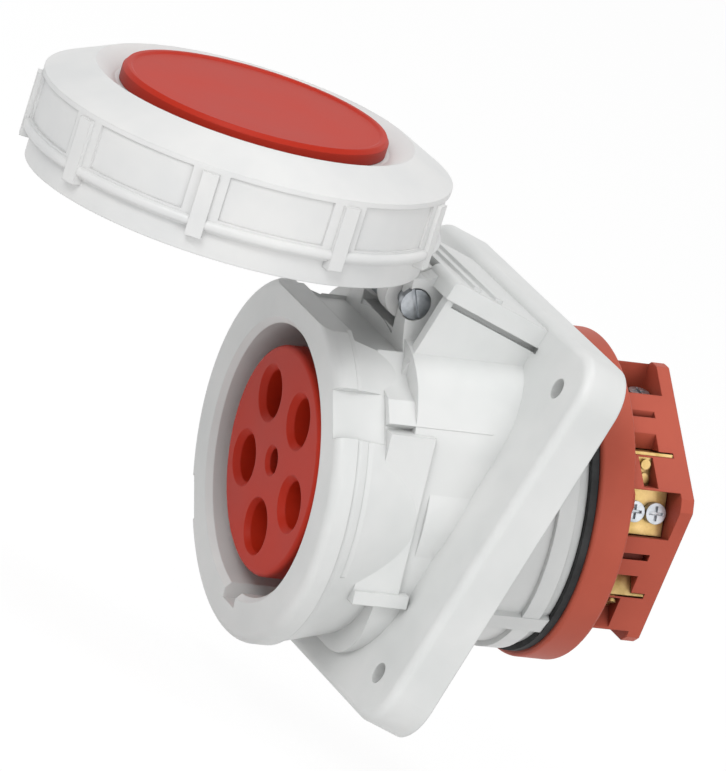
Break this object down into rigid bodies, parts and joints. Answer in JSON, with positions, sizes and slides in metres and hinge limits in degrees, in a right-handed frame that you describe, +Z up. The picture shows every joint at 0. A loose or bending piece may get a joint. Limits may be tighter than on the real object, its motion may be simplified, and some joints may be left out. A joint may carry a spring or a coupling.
{
  "type": "industrial panel socket",
  "caption": "Sloped panel-mount power socket with square flange, round collar, red contact insert, rear terminals and a sprung hinged lid with a turning bayonet ring.",
  "frame": {"origin": "centre of the flange's back face, in the plane of the panel", "axes": "+Y into the panel, +Z up, +X to the right of someone who stands behind the panel and looks out"},
  "size_m": [0.119, 0.2155, 0.135],
  "materials": {
    "housing_plastic": "light grey moulded polyamide, fine satin",
    "coded_plastic": "red moulded polyamide, satin",
    "contact_brass": "machined, lightly tarnished",
    "zinc_steel": "zinc plated",
    "seal_rubber": "matt"
  },
  "bodies": {
    "socket": {"housing": "housing_plastic", "panel_gasket": "seal_rubber", "contact_insert": "coded_plastic", "terminal_carrier": "coded_plastic", "carrier_seal": "seal_rubber", "contact_line_1": "contact_brass", "contact_line_2": "contact_brass", "contact_line_3": "contact_brass", "contact_neutral": "contact_brass", "contact_earth": "contact_brass", "pilot_contact": "contact_brass", "contact_springs": "zinc_steel", "terminal_screws": "zinc_steel", "pilot_screw": "zinc_steel", "hinge_pin": "zinc_steel", "pin_clip": "zinc_steel", "hinge_spring": "zinc_steel"},
    "lid": {"lid_cap": "housing_plastic", "lid_gasket": "seal_rubber", "lid_disc": "coded_plastic"},
    "ring": {"locking_ring": "housing_plastic"}
  },
  "joints": [
    {"name": "lid_hinge", "type": "hinge", "parent": "socket", "child": "lid", "pos_m": [0, -0.0437, 0.04067], "axis": [1, 0, 0], "range_deg": [0, 94], "stiffness_Nm_per_rad": 0.06, "springref_deg": -51.57},
    {"name": "ring_turn", "type": "hinge", "parent": "lid", "child": "ring", "pos_m": [0, -0.10248, 0.05919], "axis": [0, -0.2756, 0.9613], "range_deg": [-45, 0]}
  ]
}
